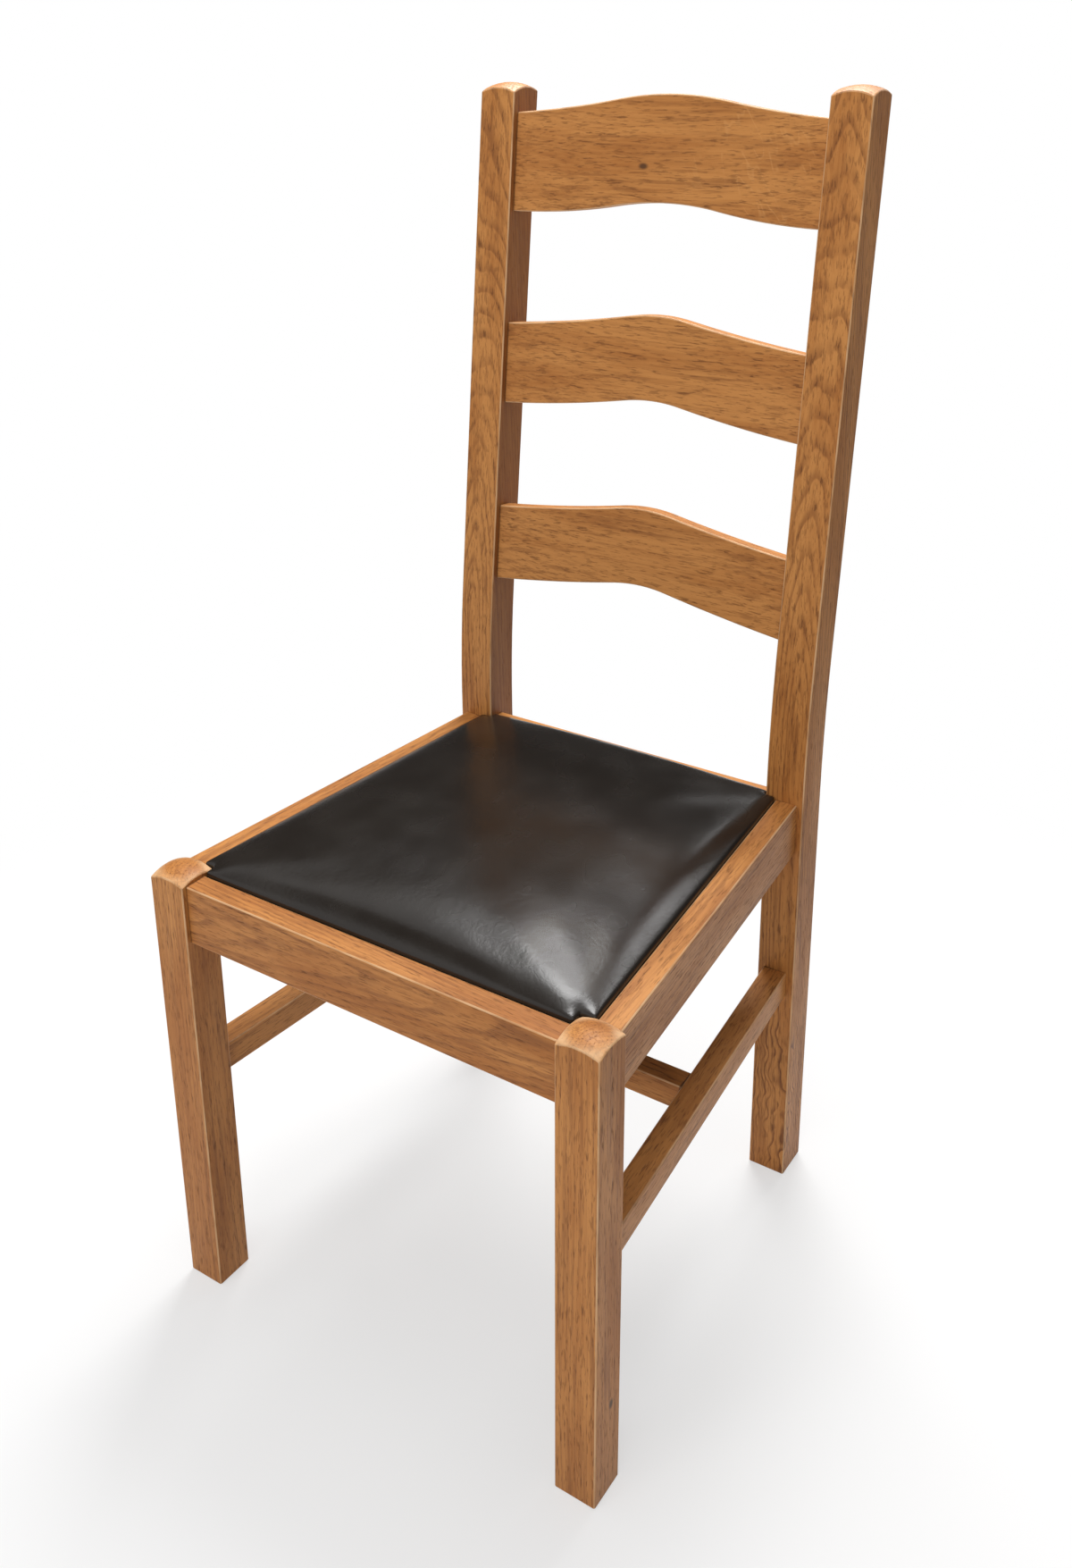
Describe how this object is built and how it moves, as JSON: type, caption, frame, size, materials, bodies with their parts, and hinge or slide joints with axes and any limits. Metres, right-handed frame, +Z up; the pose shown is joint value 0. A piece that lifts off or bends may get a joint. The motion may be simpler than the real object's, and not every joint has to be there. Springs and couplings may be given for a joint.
{
  "type": "ladderback dining chair",
  "caption": "Wooden ladderback dining chair with square legs, crested bowed slats, an H stretcher and a drop-in leather seat that lifts out.",
  "frame": {"origin": "on the floor under the middle of the overall box", "axes": "+X across the chair to the right as seen from the front, +Y from the front legs to the back posts, +Z up"},
  "size_m": [0.46, 0.5263, 1.092],
  "materials": {
    "oak": "mid-honey stained oak, satin lacquer, worn arrises",
    "block_wood": "bare softwood",
    "plywood": "bare plywood",
    "foam": "upholstery foam",
    "leather": "dark brown-black glossy leather with fine creases",
    "dust_cloth": "black non-woven dust cloth",
    "steel_wire": "bright staples",
    "steel_screw": "plain steel wood screws"
  },
  "bodies": {
    "frame": {"back_post_left": "oak", "back_post_right": "oak", "back_rail": "oak", "bottom_slat": "oak", "corner_block_back_left": "block_wood", "corner_block_back_right": "block_wood", "corner_block_front_left": "block_wood", "corner_block_front_right": "block_wood", "corner_block_screws": "steel_screw", "cross_stretcher": "oak", "front_leg_left": "oak", "front_leg_right": "oak", "front_rail": "oak", "middle_slat": "oak", "side_rail_left": "oak", "side_rail_right": "oak", "side_stretcher_left": "oak", "side_stretcher_right": "oak", "top_slat": "oak"},
    "seat": {"seat_board": "plywood", "seat_foam": "foam", "seat_cover": "leather", "seat_underlining": "dust_cloth", "cover_staples": "steel_wire"}
  },
  "joints": [
    {"name": "seat_lift", "type": "slide", "parent": "frame", "child": "seat", "axis": [0, 0, 1], "range_m": [0, 0.12]}
  ]
}
